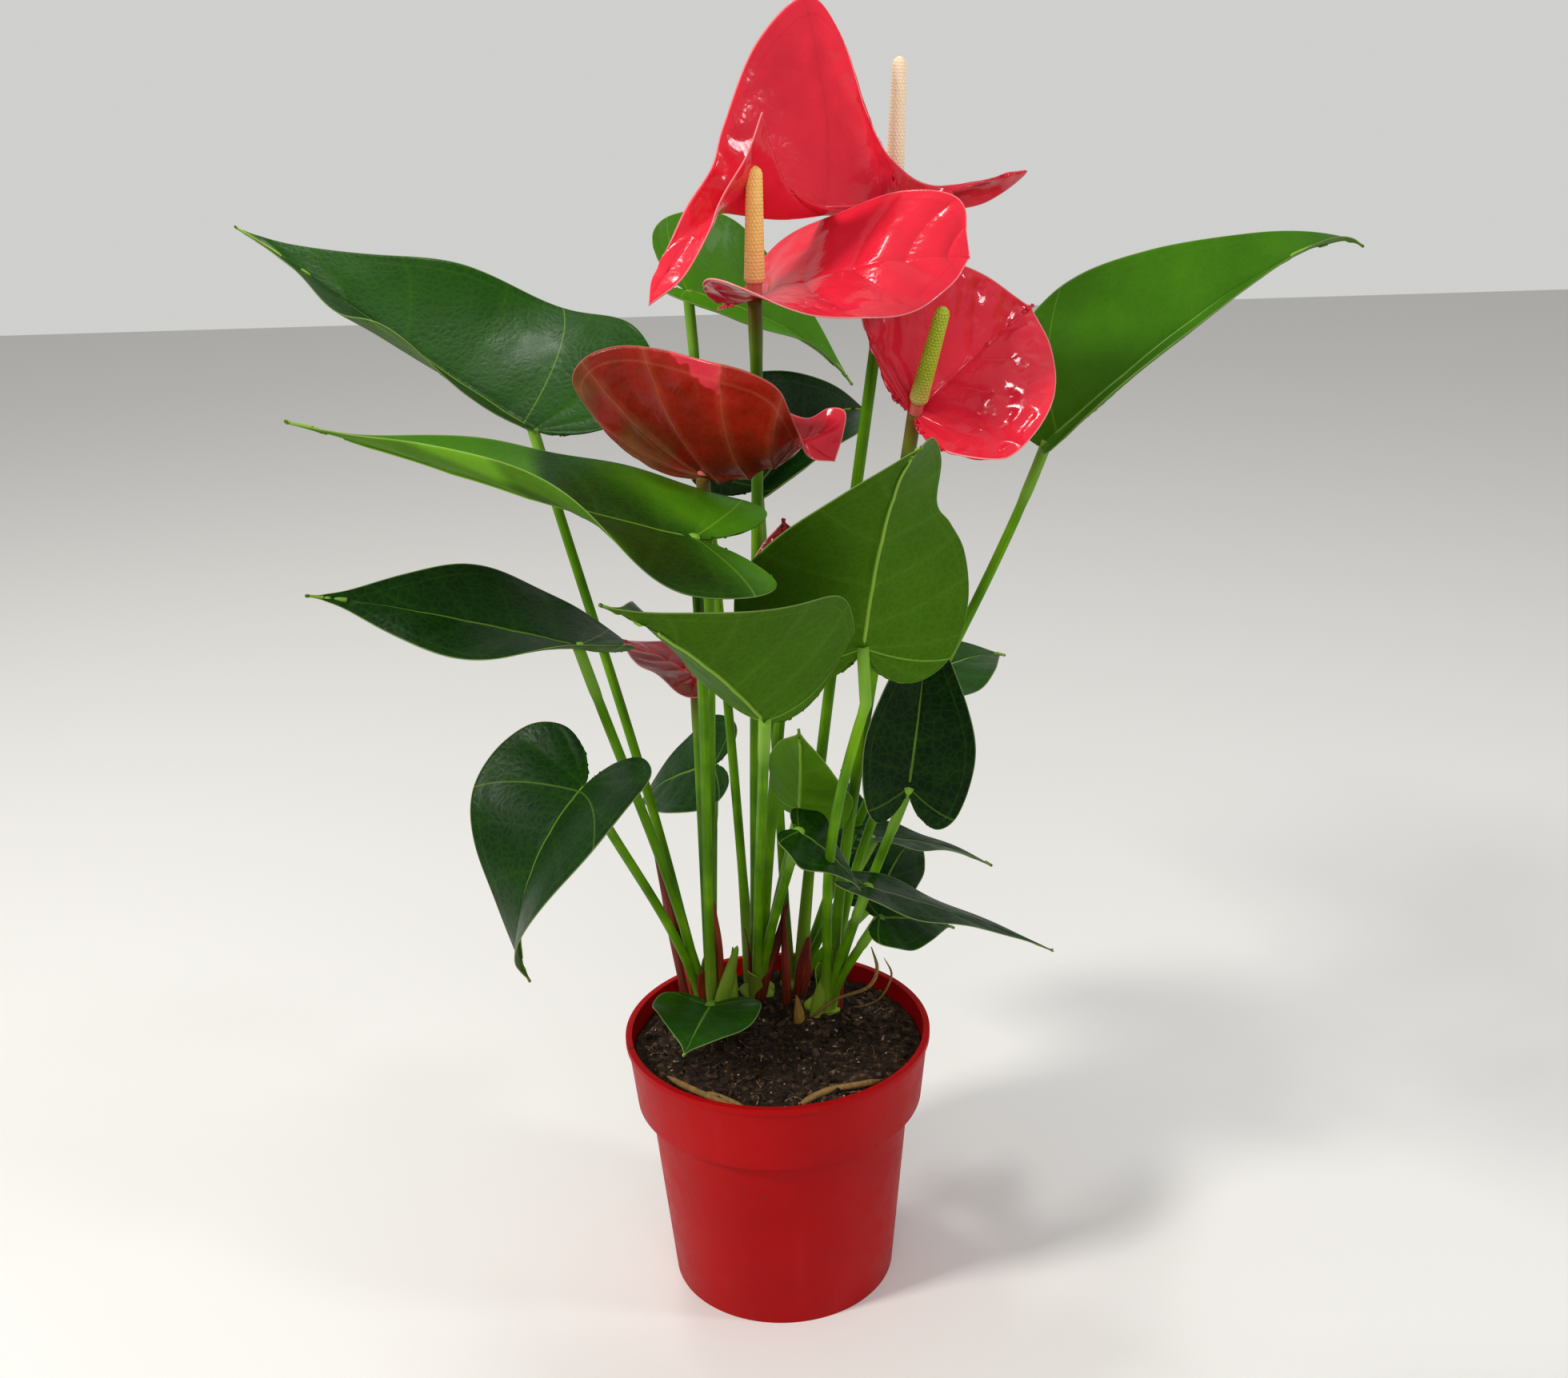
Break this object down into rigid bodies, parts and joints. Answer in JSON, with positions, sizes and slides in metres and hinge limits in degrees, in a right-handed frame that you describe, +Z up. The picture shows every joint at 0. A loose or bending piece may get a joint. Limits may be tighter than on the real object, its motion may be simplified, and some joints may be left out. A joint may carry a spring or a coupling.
{
  "type": "potted anthurium",
  "caption": "Anthurium plant with glossy heart-shaped leaves and red spathes with cream spadices, growing from a clump of crowns in a round red plastic nursery pot filled with peat mix.",
  "frame": {"origin": "centre of the flat pad under the pot, on the surface that the pot stands on", "axes": "+Z up along the pot's axis; +Y away from the side that the picture shows; +X to its right"},
  "size_m": [0.4235, 0.2738, 0.4809],
  "materials": {
    "pot": "satin",
    "soil": "matte",
    "stalks": "satin",
    "leaves": "gloss",
    "spathes": "gloss",
    "spathe_brown": "gloss",
    "spathe_dark": "gloss",
    "spadix_cream": "matte",
    "spadix_green": "matte",
    "sheath_brown": "matte",
    "sheath_green": "satin"
  },
  "bodies": {
    "root": {"pot": "pot", "soil": "soil", "crown_front": "stalks", "crown_middle": "stalks", "crown_rear": "stalks", "crown_right": "stalks", "shoot_left": "sheath_brown", "sheath_front": "sheath_green", "sheath_middle": "sheath_brown", "stub_old": "sheath_brown", "leaf_upper_left": "leaves", "leaf_upper_right": "leaves", "leaf_twisted_left": "leaves", "leaf_middle_left": "leaves", "leaf_lower_left": "leaves", "leaf_centre_front": "leaves", "leaf_centre_right": "leaves", "leaf_dark_right": "leaves", "leaf_top_rear": "leaves", "leaf_dark_rear": "leaves", "leaf_left_rear": "leaves", "leaf_right_rear": "leaves", "leaf_right_slim": "leaves", "leaf_right_long": "leaves", "leaf_right_low": "leaves", "leaf_middle_dark": "leaves", "leaf_middle_erect": "leaves", "leaf_right_brown": "leaves", "leaf_right_shade": "leaves", "leaf_rim_front": "leaves", "bloom_top_spathe": "spathes", "bloom_top_spadix": "spadix_cream", "bloom_centre_spathe": "spathes", "bloom_centre_spadix": "spadix_cream", "bloom_right_spathe": "spathes", "bloom_right_spadix": "spadix_green", "bloom_left_spathe": "spathe_brown", "bloom_left_spadix": "spadix_cream", "bloom_shade_spathe": "spathe_dark", "bloom_shade_spadix": "spadix_cream", "bloom_low_spathe": "spathe_dark", "bloom_low_spadix": "spadix_cream"}
  },
  "joints": []
}
